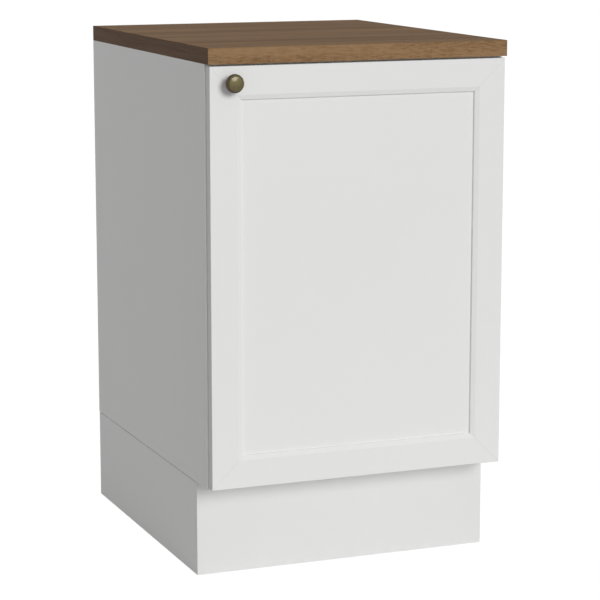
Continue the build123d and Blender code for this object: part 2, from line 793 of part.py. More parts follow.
# Knob, turned about its screw
knob_foot_radius = 7.0
knob_foot_height = 1.6
knob_neck_radius = 4.6
knob_neck_height = 9.0
knob_head_radius = 14.6
knob_head_start = 15.3
knob_rim_height = 0.8
knob_shoulder_width = 3.6
knob_dome_height = 1.3
knob_dome_start = knob_reach - knob_dome_height
knob_dome_radius = knob_head_radius - knob_shoulder_width
knob_dome_sphere = (knob_dome_radius**2 + knob_dome_height**2) / knob_dome_height / 2
knob_dome_middle = knob_reach - knob_dome_sphere + (knob_dome_sphere**2 - knob_dome_radius**2 / 4) ** 0.5
knob_throat_radius = (knob_foot_radius + knob_neck_radius * 3) / 4
knob_throat_height = (knob_foot_height * 2 + knob_neck_height) / 3
knob_flare_radius = (knob_neck_radius * 2 + knob_head_radius) / 3
knob_flare_height = (knob_neck_height + knob_head_start * 2) / 3
with BuildPart() as knob:
    with BuildSketch(Plane(origin=(x_knob, y_door, z_knob), x_dir=RIGHT, z_dir=UP)) as half_knob:
        with BuildLine():
            bottom = Line((0, 0), (knob_foot_radius, 0))
            foot = Line(bottom @ 1, (knob_foot_radius, -knob_foot_height))
            throat = ThreePointArc(
                foot @ 1, (knob_throat_radius, -knob_throat_height), (knob_neck_radius, -knob_neck_height)
            )
            flare = ThreePointArc(
                throat @ 1, (knob_flare_radius, -knob_flare_height), (knob_head_radius, -knob_head_start)
            )
            rim = Line(flare @ 1, (knob_head_radius, -knob_head_start - knob_rim_height))
            shoulder = TangentArc(rim @ 1, (knob_dome_radius, -knob_dome_start), tangent=(0, -1))
            dome = ThreePointArc(shoulder @ 1, (knob_dome_radius / 2, -knob_dome_middle), (0, -knob_reach))
            Line(dome @ 1, bottom @ 0)
        make_face()
    revolve(half_knob.sketch, axis=Axis((x_knob, y_door, z_knob), BACK))
    rod((x_knob, y_door, z_knob), FRONT, knob_screw_radius + fit, knob_screw_depth + tip_gap, Mode.SUBTRACT)
finish(knob, "knob")

with BuildPart() as knob_screw:
    knob_bolt = pan_head(knob_screw_head_radius, knob_screw_head_height, knob_screw_radius, knob_screw_length)
    screw((x_knob, y_door_back, z_knob), FRONT, knob_bolt)
finish(knob_screw, "knob_screw")

# Soft bumpers that keep the door off the left side
with BuildPart() as bumpers:
    for place in bumper_places:
        rod(place, BACK, bumper_radius, bumper_recess + door_gap - bumper_squeeze)
finish(bumpers, "door_bumpers")

# Hinge parts are stacked in layers, measured up and down from the hinge's middle height
lug_layer = 1.4
long_link_slot = 1.6
long_link_layer = 3.0
short_link_start = 3.4
short_link_stop = 4.9
cheek_start = 5.3
cheek_stop = 6.8
long_link_bend_x = 3.5
long_link_bend_y = -2.9
long_link_half_width = 2.0
long_link_end_radius = 1.9
long_link_root_radius = 3.0
slot_radius = 12.5
short_link_half_width = 1.0
short_link_root_radius = 2.2
short_link_tip_radius = 2.8
open_pivot_clearance = 0.82
short_link_floor_gap = 0.35
short_link_first_bend = 1.6
short_link_second_bend = 11.0


def hull_through(points, radii):
    """Draws a strap: rounded ends and bends joined by straight edges."""
    for k in range(len(points) - 1):
        with BuildSketch(mode=Mode.PRIVATE) as stretch:
            with Locations(points[k]):
                Circle(radii[k])
            with Locations(points[k + 1]):
                Circle(radii[k + 1])
            make_hull()
        add(stretch.sketch)


def layer(z, low, high):
    """Sketch plane and height of a layer, above the middle of a hinge or mirrored below it."""
    return Plane(origin=(0, 0, z + min(low, high))), abs(high - low)


def pin_hole(pivot, z, radius, low, high):
    """Cuts an upright hole through a layer at a pivot."""
    rod((pivot[0], pivot[1], z + min(low, high)), UP, radius, abs(high - low), Mode.SUBTRACT)


bore = pin_radius + fit
stub_length = cheek_stop - short_link_start
long_link_bend = (x_cup + long_link_bend_x, y_door_back + long_link_bend_y)
y_short_run = y_cup_floor + cup_wall + short_link_floor_gap + short_link_half_width
short_link_path = [
    pivot_c,
    (pivot_c[0], y_short_run + short_link_first_bend),
    (pivot_c[0] + short_link_first_bend, y_short_run),
    (pivot_c[0] + short_link_second_bend, y_short_run),
    pivot_d,
]
short_link_radii = [short_link_half_width] * len(short_link_path)
long_link_path = [pivot_a, long_link_bend, pivot_b]
long_link_radii = [long_link_root_radius, long_link_half_width, long_link_end_radius]

with BuildPart() as long_links:
    for z in hinge_levels.values():
        plane, height = layer(z, -long_link_layer, long_link_layer)
        with BuildSketch(plane) as strap:
            hull_through(long_link_path, long_link_radii)
        extrude(strap.sketch, amount=height)
        pin_hole(pivot_b, z, slot_radius, -long_link_slot, long_link_slot)
        for pivot in (pivot_a, pivot_b):
            pin_hole(pivot, z, bore, -long_link_layer, long_link_layer)
finish(long_links, "hinge_long_links")

with BuildPart() as short_links:
    for z in hinge_levels.values():
        for side in (-1, 1):
            plane, height = layer(z, side * short_link_start, side * short_link_stop)
            with BuildSketch(plane) as strap:
                hull_through(short_link_path, short_link_radii)
                with Locations(pivot_c):
                    Circle(short_link_root_radius)
                with Locations(pivot_d):
                    Circle(short_link_tip_radius)
            extrude(strap.sketch, amount=height)
            for pivot, radius in ((pivot_c, bore), (pivot_d, pin_radius + open_pivot_clearance)):
                pin_hole(pivot, z, radius, side * short_link_start, side * short_link_stop)
finish(short_links, "hinge_short_links")

with BuildPart() as arm_pins:
    for z in hinge_levels.values():
        rod((*pivot_a, z - cheek_stop), UP, pin_radius, cheek_stop * 2)
        for side in (-1, 1):
            rod((*pivot_c, z + side * short_link_start), (0, 0, side), pin_radius, stub_length)
finish(arm_pins, "hinge_arm_pins")

with BuildPart() as cup_pins:
    for z in hinge_levels.values():
        rod((*pivot_b, z - long_link_layer), UP, pin_radius, long_link_layer * 2)
        for side in (-1, 1):
            rod((*pivot_d, z + side * short_link_start), (0, 0, side), pin_radius, stub_length)
finish(cup_pins, "hinge_cup_pins")

# Cups, let into the door's back, with lugs that hold the cup pins
lug_radius = 1.9
lug_half_width = 1.2
for name, z in hinge_levels.items():
    with BuildPart() as cup:
        rod((x_cup, y_cup_floor, z), BACK, cup_radius - fit, cup_depth)
        block(
            (x_cup - flange_offset - flange_width / 2, x_cup - flange_offset + flange_width / 2),
            (y_door_back, y_door_back + flange_thickness),
            (z - flange_height / 2, z + flange_height / 2),
        )
        cavity_depth = cup_depth - cup_wall + flange_thickness
        cavity_radius = cup_radius - fit - cup_wall
        rod((x_cup, y_cup_floor + cup_wall, z), BACK, cavity_radius, cavity_depth, Mode.SUBTRACT)
        lugs = [
            (pivot_b, -lug_layer, lug_layer),
            (pivot_d, cheek_start, cheek_stop),
            (pivot_d, -cheek_stop, -cheek_start),
        ]
        for pivot, low, high in lugs:
            plane, height = layer(z, low, high)
            with BuildSketch(plane) as lug:
                with Locations(pivot):
                    Circle(lug_radius)
                foot = (pivot[0], (pivot[1] + y_cup_floor) / 2)
                with Locations(foot):
                    Rectangle(lug_half_width * 2, pivot[1] - y_cup_floor)
            extrude(lug.sketch, amount=height)
            pin_hole(pivot, z, bore, low, high)
        screw_hole = countersunk(
            flange_screw_head_radius,
            flange_screw_head_height,
            flange_screw_radius,
            flange_thickness + fit,
            grown=fit,
        )
        for place in flange_screw_places:
            if abs(place[2] - z) < flange_height:
                turned(place, FRONT, screw_hole, Mode.SUBTRACT)
    finish(cup, f"{name}_hinge_cup")

with BuildPart() as cup_screws:
    flange_screw = countersunk(
        flange_screw_head_radius, flange_screw_head_height, flange_screw_radius, flange_screw_length
    )
    for place in flange_screw_places:
        screw(place, FRONT, flange_screw)
finish(cup_screws, "hinge_cup_screws")

# Arms: a channel that straddles the mounting plate's rail, with cheeks that carry the root pivots
cheek_root_radius = 3.0
cheek_tip_radius = 2.3
cheek_heel_x = -7.0
cheek_heel_y = 22.5
cheek_heel_radius = 4.0
web_x = -15.0
web_thickness = 1.5
channel_depth = 12.0
channel_start = 20.5
channel_length = 50.0
rail_gap = 0.3
rail_top_x = -11.0
rail_start = 28.5
rail_length = 40.0
base_thickness = 2.0
wing_width = 13.0
wing_reach = 25.0
base_half_height = 10.0
base_overhang = 4.0
clamp_from_front = 58.5
clamp_screw_radius = 2.5
clamp_screw_head_radius = 4.5
clamp_screw_head_height = 2.0
clamp_screw_length = 12.0
adjust_from_front = 26.0
adjust_screw_radius = 2.5
x_web = x_cup + web_x
x_rail = x_cup + rail_top_x
y_arm = y_door_back + channel_start
y_rail = y_door_back + rail_start
y_clamp = y_door_back + clamp_from_front
y_adjust = y_rail + adjust_screw_radius + tip_gap
rail_half_height = cheek_start - rail_gap
for name, z in hinge_levels.items():
    with BuildPart() as arm:
        for low, high in ((cheek_start, cheek_stop), (-cheek_stop, -cheek_start)):
            plane, height = layer(z, low, high)
            with BuildSketch(plane) as cheek:
                with Locations(pivot_a):
                    Circle(cheek_root_radius)
                with Locations(pivot_c):
                    Circle(cheek_tip_radius)
                with Locations((x_cup + cheek_heel_x, y_door_back + cheek_heel_y)):
                    Circle(cheek_heel_radius)
                make_hull()
            extrude(cheek.sketch, amount=height)
            block((x_web, x_web + channel_depth), (y_arm, y_arm + channel_length), (z + low, z + high))
            for pivot in (pivot_a, pivot_c):
                pin_hole(pivot, z, bore, low, high)
        web_sides = (x_web, x_web + web_thickness)
        block(web_sides, (y_arm, y_arm + channel_length), (z - cheek_stop, z + cheek_stop))
        for y, radius in ((y_clamp, clamp_screw_radius), (y_adjust, adjust_screw_radius)):
            rod((x_web, y, z), RIGHT, radius + fit, web_thickness, Mode.SUBTRACT)
    finish(arm, f"{name}_hinge_arm")
    with BuildPart() as plate:
        block((x_rail, inner), (y_rail, y_rail + rail_length), (z - rail_half_height, z + rail_half_height))
        block(
            (inner - base_thickness, inner),
            (y_rail - base_overhang, y_rail + rail_length + base_overhang),
            (z - base_half_height, z + base_half_height),
        )
        block(
            (inner - base_thickness, inner),
            (y_plate - wing_width / 2, y_plate + wing_width / 2),
            (z - wing_reach, z + wing_reach),
        )
        rod((x_rail, y_clamp, z), RIGHT, clamp_screw_radius + fit, clamp_screw_length, Mode.SUBTRACT)
        for level in plate_screw_levels:
            if abs(level - z) < wing_reach:
                place = (inner - base_thickness, y_plate, level)
                rod(place, RIGHT, plate_screw_radius + fit, base_thickness, Mode.SUBTRACT)
    finish(plate, f"{name}_mounting_plate")

with BuildPart() as plate_screws:
    plate_screw = pan_head(
        plate_screw_head_radius, plate_screw_head_height, plate_screw_radius, plate_screw_length
    )
    for level in plate_screw_levels:
        screw((inner - base_thickness, y_plate, level), RIGHT, plate_screw)
finish(plate_screws, "mounting_plate_screws")

with BuildPart() as clamp_screws:
    clamp_screw = pan_head(
        clamp_screw_head_radius, clamp_screw_head_height, clamp_screw_radius, clamp_screw_length
    )
    for z in hinge_levels.values():
        screw((x_web, y_clamp, z), RIGHT, clamp_screw)
finish(clamp_screws, "hinge_clamp_screws")

with BuildPart() as adjust_screws:
    for z in hinge_levels.values():
        rod((x_web, y_adjust, z), RIGHT, adjust_screw_radius, x_rail - x_web)
        cross_cut((x_web, y_adjust, z), RIGHT, adjust_screw_radius)
finish(adjust_screws, "hinge_adjusting_screws")
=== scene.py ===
# %% [markdown]
# # A kitchen base cabinet
# The cabinet is built elsewhere from boards, strips, screws and hinges, each with its real size.
# Here it gets its finishes, a floor, soft light and a camera.
# Every length is in metres. X runs to the right, Y from the door to the wall, and Z up from the floor.

# %% The model, as it was built
import bpy
import math
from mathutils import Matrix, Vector


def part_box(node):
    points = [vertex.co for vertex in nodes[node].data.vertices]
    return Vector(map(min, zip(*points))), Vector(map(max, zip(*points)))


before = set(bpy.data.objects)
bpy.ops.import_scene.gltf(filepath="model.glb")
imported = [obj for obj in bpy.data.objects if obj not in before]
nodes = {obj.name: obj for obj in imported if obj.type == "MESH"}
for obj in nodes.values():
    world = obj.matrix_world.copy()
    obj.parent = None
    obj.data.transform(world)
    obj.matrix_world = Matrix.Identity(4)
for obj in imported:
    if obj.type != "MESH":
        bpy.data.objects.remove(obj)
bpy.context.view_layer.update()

# %% [markdown]
# ## How a finish is put together
# A finish is a small graph of nodes: a place on the piece goes in, and colour, roughness and bump come out.
# Each graph starts with the place in metres, so the scale of a grain is a real one and needs no unwrapping.
# These helpers add one node each, which keeps every finish short enough to read.

# %% Helpers for finishes
# A mix node has sockets for numbers, vectors and colours. These are the places of the ones for colours.
MIX_SHARE = 0
MIX_FIRST = 6
MIX_SECOND = 7
MIX_RESULT = 2


class Finish:
    """A material under construction, with one call for each kind of node it needs."""

    def __init__(self, name, metal=0.0, rough=0.5, specular=0.5):
        """Starts a material. These numbers hold wherever nothing is linked over them."""
        self.material = bpy.data.materials.new(name)
        self.material.use_nodes = True
        self.tree = self.material.node_tree
        self.shader = self.tree.nodes["Principled BSDF"]
        self.shader.inputs["Metallic"].default_value = metal
        self.shader.inputs["Roughness"].default_value = rough
        self.shader.inputs["Specular IOR Level"].default_value = specular
        self.place = self.tree.nodes.new("ShaderNodeTexCoord").outputs["Object"]

    def node(self, kind, **inputs):
        """Adds a node and fills its inputs, with a value or with another node's output."""
        made = self.tree.nodes.new(kind)
        for name, value in inputs.items():
            socket = made.inputs[name.replace("_", " ")]
            self.fill(socket, value)
        return made

    def fill(self, socket, value):
        """Sets a socket to a value, or links it to an output."""
        if isinstance(value, bpy.types.NodeSocket):
            self.tree.links.new(value, socket)
        else:
            socket.default_value = value

    def stretched(self, scale, shift=(0, 0, 0)):
        """The place on the piece, stretched by a scale along each axis. A shift keeps two patterns apart."""
        moved = self.node("ShaderNodeMapping", Vector=self.place, Scale=scale, Location=shift)
        return moved.outputs["Vector"]

    def noise(self, scale, detail=3.0, rough=0.5, shift=(0, 0, 0)):
        """Soft random values, with a number of waves per metre along each axis."""
        place = self.stretched(scale, shift)
        made = self.node("ShaderNodeTexNoise", Vector=place, Scale=1.0, Detail=detail, Roughness=rough)
        return made.outputs["Fac"]

    def ramp(self, value, *stops):
        """Turns a value into a colour by stops of (place, colour)."""
        made = self.node("ShaderNodeValToRGB", Fac=value)
        points = made.color_ramp.elements
        while len(points) < len(stops):
            points.new(0.5)
        for point, (where, colour) in zip(points, stops):
            point.position = where
            point.color = (*colour, 1.0)
        return made.outputs["Color"]

    def spread(self, value, low, high, start=0.3, stop=0.7):
        """Moves a value from the range start to stop into the range low to high."""
        made = self.node("ShaderNodeMapRange", Value=value)
        made.inputs["From Min"].default_value = start
        made.inputs["From Max"].default_value = stop
        made.inputs["To Min"].default_value = low
        made.inputs["To Max"].default_value = high
        return made.outputs["Result"]

    def mix(self, share, first, second, blend="MIX"):
        """Mixes two colours by a share."""
        made = self.tree.nodes.new("ShaderNodeMix")
        made.data_type = "RGBA"
        made.blend_type = blend
        for place, value in ((MIX_SHARE, share), (MIX_FIRST, first), (MIX_SECOND, second)):
            self.fill(made.inputs[place], value)
        return made.outputs[MIX_RESULT]

    def calc(self, first, second, kind="ADD"):
        """Adds two values, or joins them by another kind of arithmetic."""
        made = self.tree.nodes.new("ShaderNodeMath")
        made.operation = kind
        self.fill(made.inputs[0], first)
        self.fill(made.inputs[1], second)
        return made.outputs[0]

    def facing(self, axis):
        """How far the surface faces along an axis of the cabinet, from -1 to 1."""
        normal = self.tree.nodes.new("ShaderNodeNewGeometry").outputs["Normal"]
        return self.node("ShaderNodeSeparateXYZ", Vector=normal).outputs[axis]

    def where(self, axis):
        """The place on the piece along one axis."""
        return self.node("ShaderNodeSeparateXYZ", Vector=self.place).outputs[axis]

    def finish(self, colour=None, rough=None, height=None, depth=0.0001, strength=0.4):
        """Joins colour, roughness and bump to the shader."""
        if colour is not None:
            self.fill(self.shader.inputs["Base Color"], colour)
        if rough is not None:
            self.fill(self.shader.inputs["Roughness"], rough)
        if height is not None:
            bump = self.node("ShaderNodeBump", Height=height, Strength=strength, Distance=depth)
            self.fill(self.shader.inputs["Normal"], bump.outputs["Normal"])
        return self.material


def wear(material, *names):
    """Puts a finish on pieces of the model."""
    for name in names:
        mesh = nodes[name].data
        mesh.materials.clear()
        mesh.materials.append(material)
    print(material.name, "on", len(names), "pieces")


# %% [markdown]
# ## White melamine board
# The carcass and the plinth are chipboard with a white melamine skin.
# Its pearl texture is too fine to see from a step away, but it breaks up the shine, so it goes in as bump.
# Rear edges have no edging, and show the bare chips.
# One material does both: it looks which way the face points, so a board needs no second slot.

# %% Bare chipboard
CHIP_DARK = (0.30, 0.20, 0.11)
CHIP_MIDDLE = (0.50, 0.36, 0.22)
CHIP_PALE = (0.62, 0.47, 0.30)
SPECK = (0.24, 0.15, 0.08, 1.0)


def chips(finish):
    """Colour of bare chipboard: flat flakes of wood pressed together."""
    cells = finish.node("ShaderNodeTexVoronoi", Vector=finish.stretched((260, 260, 420)), Scale=1.0)
    flake = finish.ramp(cells.outputs["Color"], (0.15, CHIP_DARK), (0.5, CHIP_MIDDLE), (0.85, CHIP_PALE))
    speck = finish.noise((900, 900, 900), detail=2.0)
    return finish.mix(finish.spread(speck, 0.0, 0.35), flake, SPECK)


# %% White board, with bare rear edges on the carcass
WHITE = (0.86, 0.86, 0.852)
CLOUD_WHITE = tuple(0.985 * c for c in WHITE)
SQUARE_ON = 0.7


def white_board(name, bare_rear):
    """Melamine-faced board. Carcass boards show chips on their rear edges."""
    skin = Finish(name, rough=0.45)
    cloud = skin.noise((3, 3, 3), detail=2.0)
    colour = skin.ramp(cloud, (0.3, CLOUD_WHITE), (0.7, WHITE))
    pearl = skin.noise((1400, 1400, 1400), detail=2.0)
    if bare_rear:
        at_rear = skin.calc(skin.facing("Y"), SQUARE_ON, "GREATER_THAN")
        colour = skin.mix(at_rear, colour, chips(skin))
    rough = skin.spread(pearl, 0.42, 0.50)
    return skin.finish(colour, rough, pearl, depth=0.00004, strength=0.25)


carcass_white = white_board("carcass_white", bare_rear=True)
plinth_white = white_board("plinth_white", bare_rear=False)
wear(
    carcass_white,
    "left_side_panel",
    "right_side_panel",
    "bottom_panel",
    "front_top_rail",
    "rear_top_rail",
    "shelf",
)
wear(plinth_white, "plinth_front_board", "plinth_rear_board", "plinth_left_board", "plinth_right_board")

# %% [markdown]
# ## White edging
# Thin plastic strips cover the front edges of the boards.
# Plastic is smoother than melamine, so it shines a little more.
# It could share the boards' material, but then an edge would look as dull as a face.

# %% Edging
EDGING_DARK = (0.845, 0.845, 0.838)
EDGING_PALE = (0.86, 0.86, 0.853)
edging = Finish("white_edging", rough=0.36)
waves = edging.noise((40, 40, 40), detail=2.0)
edging_white = edging.finish(
    edging.ramp(waves, (0.3, EDGING_DARK), (0.7, EDGING_PALE)),
    edging.spread(waves, 0.33, 0.40),
    edging.noise((500, 500, 500)),
    depth=0.00003,
    strength=0.2,
)
wear(
    edging_white,
    "left_side_edge_strip",
    "right_side_edge_strip",
    "bottom_edge_strip",
    "top_rail_edge_strip",
    "shelf_edge_strip",
)

# %% [markdown]
# ## The door's white foil
# The frame members and the panel are wrapped in a dull white foil.
# It is a shade duller than the carcass, with a very weak grain under it, lengthwise on each member.
# The members meet in mitres, and a fine line shows there.
# It could be a bevel on the members. As a colour it leaves their faces and edges as they are.
# It lies where the distances to the door's two nearest edges are equal, so the material can work it out.

# %% The line in the mitres
stile_low, stile_high = (Vector(corner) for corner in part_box("door_left_stile"))
door_high = Vector(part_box("door_right_stile")[1])
door_middle = (stile_low + door_high) / 2
door_half = (door_high - stile_low) / 2
frame_width = stile_high.x - stile_low.x
LINE_CORE = 0.00015
LINE_END = 0.00035
print("door", [round(v, 4) for v in door_half * 2], "frame", round(frame_width, 4))


def mitre_line(foil):
    """How much a place lies in a mitre of the door's frame, from 0 to 1."""
    def inward(axis, middle, half):
        off = foil.calc(foil.calc(foil.where(axis), middle, "SUBTRACT"), 0.0, "ABSOLUTE")
        return foil.calc(half, off, "SUBTRACT")

    from_side = inward("X", door_middle.x, door_half.x)
    from_end = inward("Z", door_middle.z, door_half.z)
    apart = foil.calc(foil.calc(from_side, from_end, "SUBTRACT"), 0.0, "ABSOLUTE")
    line = foil.spread(apart, 1.0, 0.0, LINE_CORE, LINE_END)
    return foil.calc(line, foil.calc(from_side, frame_width, "LESS_THAN"), "MULTIPLY")


# %% Foil
FOIL_DARK = (0.897, 0.895, 0.887)
FOIL_PALE = (0.911, 0.910, 0.903)
LINE_GREY = (0.45, 0.45, 0.44, 1.0)
LINE_SHARE = 0.4


def white_foil(name, grain):
    """Dull foil over board, with a weak grain that runs along the member."""
    foil = Finish(name, rough=0.55, specular=0.15)
    cloud = foil.noise((2.5, 2.5, 2.5), detail=1.0)
    lines = foil.noise(grain, detail=2.0)
    colour = foil.ramp(cloud, (0.3, FOIL_DARK), (0.7, FOIL_PALE))
    colour = foil.mix(foil.calc(mitre_line(foil), LINE_SHARE, "MULTIPLY"), colour, LINE_GREY)
    return foil.finish(colour, foil.spread(lines, 0.52, 0.58), lines, depth=0.00003, strength=0.15)


upright_foil = white_foil("door_foil_upright", (700, 700, 30))
level_foil = white_foil("door_foil_level", (30, 700, 700))
wear(upright_foil, "door_left_stile", "door_right_stile", "door_panel")
wear(level_foil, "door_top_rail", "door_bottom_rail")

# %% [markdown]
# ## The back panel
# A hardboard sheet is white inside the cabinet and bare brown on the wall side.
# The brown side keeps the mesh pattern of the press.
# Two sets of waves, multiplied, make that mesh.
# It is only a fraction of a millimetre deep, so it goes in as bump.

# %% Hardboard
FIBRE_DARK = (0.20, 0.115, 0.06)
FIBRE_PALE = (0.33, 0.20, 0.11)
SHEET_WHITE = (0.84, 0.84, 0.83, 1.0)
MESH_SCALE = 160.0
sheet = Finish("back_sheet", rough=0.5)
fibre = sheet.noise((350, 350, 350), detail=4.0)
brown = sheet.ramp(fibre, (0.3, FIBRE_DARK), (0.7, FIBRE_PALE))
rear = sheet.calc(sheet.facing("Y"), 0.5, "GREATER_THAN")
mesh_x = sheet.node("ShaderNodeTexWave", Vector=sheet.stretched((1, 1, 1)), Scale=MESH_SCALE)
mesh_z = sheet.node("ShaderNodeTexWave", Vector=sheet.stretched((1, 1, 1)), Scale=MESH_SCALE)
mesh_z.bands_direction = "Z"
mesh_height = sheet.calc(mesh_x.outputs["Fac"], mesh_z.outputs["Fac"], "MULTIPLY")
back_sheet = sheet.finish(
    sheet.mix(rear, SHEET_WHITE, brown),
    sheet.spread(rear, 0.42, 0.8, 0.0, 1.0),
    sheet.calc(mesh_height, rear, "MULTIPLY"),
    depth=0.0002,
    strength=0.5,
)
wear(back_sheet, "back_panel")

# %% [markdown]
# ## The worktop's wood grain
# The top print is darker than the front strip, and that step in tone is painted shade, because the top gets
# less light.
# The laminate is printed with a brown oak grain that runs from left to right.
# It has broad soft bands, fine lines and short dark pores, and each is a noise stretched along the grain.
# The front strip shows shorter and stronger lines, with pale flecks across them.
# The end strips have their grain from front to back, and are darker.

# %% Wood grain
LINE_TONE = 0.18
PORE_SHARE = 0.45
PORE_SHADE = 0.45
PORE_DEPTH = 0.6


def oak_print(name, along, dark, middle, pale, line_waves=(9, 420), line_share=0.36, fleck_share=0.0):
    """Printed oak, with its grain along X or Y. Line waves are per metre, along the grain and across it."""
    def grain(lengthwise, across):
        return (lengthwise, across, across) if along == "X" else (across, lengthwise, across)

    wood = Finish(name, rough=0.6, specular=0.02)
    bands = wood.noise(grain(0.9, 14), detail=2.0, shift=(0.3, 0.7, 0.2))
    drift = wood.noise(grain(3.5, 60), detail=3.0, rough=0.6)
    lines = wood.noise(grain(*line_waves), detail=3.0, rough=0.65)
    pores = wood.noise(grain(45, 900), detail=2.0, rough=0.7, shift=(1.0, 0.5, 0.1))
    broad = wood.calc(wood.spread(bands, 0.0, 0.40), wood.spread(drift, 0.0, 0.30))
    tone = wood.calc(wood.calc(broad, LINE_TONE), wood.spread(lines, -line_share / 2, line_share / 2))
    colour = wood.ramp(tone, (0.22, dark), (0.5, middle), (0.8, pale))
    flecks = wood.noise(grain(340, 50), detail=2.0, shift=(0.4, 0.1, 0.8))
    colour = wood.mix(wood.spread(flecks, 0.0, fleck_share, 0.52, 0.70), colour, (*pale, 1.0))
    pore_share = wood.spread(pores, 0.0, PORE_SHARE, 0.60, 0.72)
    colour = wood.mix(pore_share, colour, (*[PORE_SHADE * c for c in dark], 1.0))
    height = wood.calc(lines, wood.calc(pore_share, PORE_DEPTH, "MULTIPLY"), "SUBTRACT")
    return wood.finish(colour, wood.spread(lines, 0.55, 0.68), height, depth=0.00006, strength=0.35)


# %% The three prints
# The top's colours are set darker than the front strip's as painted shade.
top_print_painted_darker = oak_print(
    "worktop_print",
    "X",
    dark=(0.146, 0.082, 0.037),
    middle=(0.218, 0.125, 0.059),
    pale=(0.287, 0.172, 0.086),
)
front_print = oak_print(
    "worktop_front_print",
    "X",
    dark=(0.158, 0.087, 0.039),
    middle=(0.249, 0.143, 0.069),
    pale=(0.348, 0.213, 0.110),
    line_waves=(75, 600),
    line_share=0.56,
    fleck_share=0.5,
)
end_print = oak_print(
    "worktop_end_print",
    "Y",
    dark=(0.139, 0.088, 0.060),
    middle=(0.196, 0.128, 0.089),
    pale=(0.243, 0.163, 0.116),
)
wear(top_print_painted_darker, "worktop_laminate")
wear(front_print, "worktop_front_edge")
wear(end_print, "worktop_left_edge", "worktop_right_edge")

# %% [markdown]
# ## The worktop's board
# Under the print is plain chipboard, bare at the rear, with a grey-white paper on its underside.
# The chips are the same as on the carcass, so the same helper makes them.

# %% Worktop board
slab = Finish("worktop_chipboard", rough=0.8)
PAPER_DARK = (0.66, 0.65, 0.62)
PAPER_PALE = (0.72, 0.71, 0.68)
under = slab.calc(slab.facing("Z"), -SQUARE_ON, "LESS_THAN")
paper = slab.ramp(slab.noise((60, 60, 60)), (0.3, PAPER_DARK), (0.7, PAPER_PALE))
chip_relief = slab.noise((700, 700, 700))
worktop_board = slab.finish(slab.mix(under, chips(slab), paper), None, chip_relief, depth=0.0001)
wear(worktop_board, "worktop_board")

# %% [markdown]
# ## Beech dowels and softwood blocks
# These hide inside the joints and behind the plinth, and are plain wood.
# The blocks stand upright, so their lines run up and down.
# The dowels lie in several directions and are small, so their pattern is the same along every axis.

# %% Plain wood
def plain_wood(name, grain, dark, pale):
    """Unfinished wood. The grain is in waves per metre along each axis."""
    wood = Finish(name, rough=0.65)
    lines = wood.noise(grain, detail=3.0, rough=0.6)
    colour = wood.ramp(lines, (0.3, dark), (0.7, pale))
    return wood.finish(colour, wood.spread(lines, 0.6, 0.75), lines, depth=0.0001)


beech = plain_wood("beech", (300, 300, 300), (0.50, 0.33, 0.18), (0.64, 0.45, 0.27))
softwood = plain_wood("softwood", (260, 260, 12), (0.55, 0.37, 0.18), (0.72, 0.53, 0.31))
wear(beech, "wooden_dowels", "door_mitre_dowels")
wear(softwood, "plinth_corner_blocks")

# %% [markdown]
# ## Metals
# The hinges are nickel plated and the screws zinc plated. Both are bright but not mirror smooth.
# Rolled sheet has faint lines from the mill, so the nickel's roughness varies along one direction.
# Screws and castings have none, so theirs varies alike along every axis.

# %% Plated steel and zinc
MILL_SMOOTHER = 0.07
MILL_ROUGHER = 0.09


def plated(name, dark, pale, rough, lines):
    """Metal with a cloudy colour. The lines are in waves per metre along each axis."""
    metal = Finish(name, metal=1.0, rough=rough)
    mill = metal.noise(lines, detail=3.0)
    cloud = metal.noise((90, 90, 90), detail=2.0)
    return metal.finish(
        metal.ramp(cloud, (0.3, dark), (0.7, pale)),
        metal.spread(mill, rough - MILL_SMOOTHER, rough + MILL_ROUGHER),
        mill,
        depth=0.00002,
        strength=0.2,
    )


nickel = plated("nickel_plate", (0.56, 0.55, 0.53), (0.66, 0.65, 0.62), 0.30, (60, 60, 1500))
zinc = plated("zinc_plate", (0.50, 0.52, 0.55), (0.64, 0.65, 0.67), 0.38, (900, 900, 900))
cast_zinc = plated("cast_zinc", (0.40, 0.41, 0.42), (0.50, 0.51, 0.52), 0.52, (500, 500, 500))
wear(
    nickel,
    "upper_hinge_cup",
    "lower_hinge_cup",
    "upper_hinge_arm",
    "lower_hinge_arm",
    "upper_mounting_plate",
    "lower_mounting_plate",
    "hinge_long_links",
    "hinge_short_links",
    "hinge_arm_pins",
    "hinge_cup_pins",
    "hinge_cup_screws",
    "hinge_clamp_screws",
    "hinge_adjusting_screws",
    "mounting_plate_screws",
    "shelf_pins",
)
wear(
    zinc,
    "carcass_screws",
    "back_panel_screws",
    "worktop_screws",
    "plinth_block_screws",
    "plinth_brackets",
    "plinth_bracket_screws",
    "knob_screw",
    "cam_bolts",
)
wear(cast_zinc, "cam_locks")
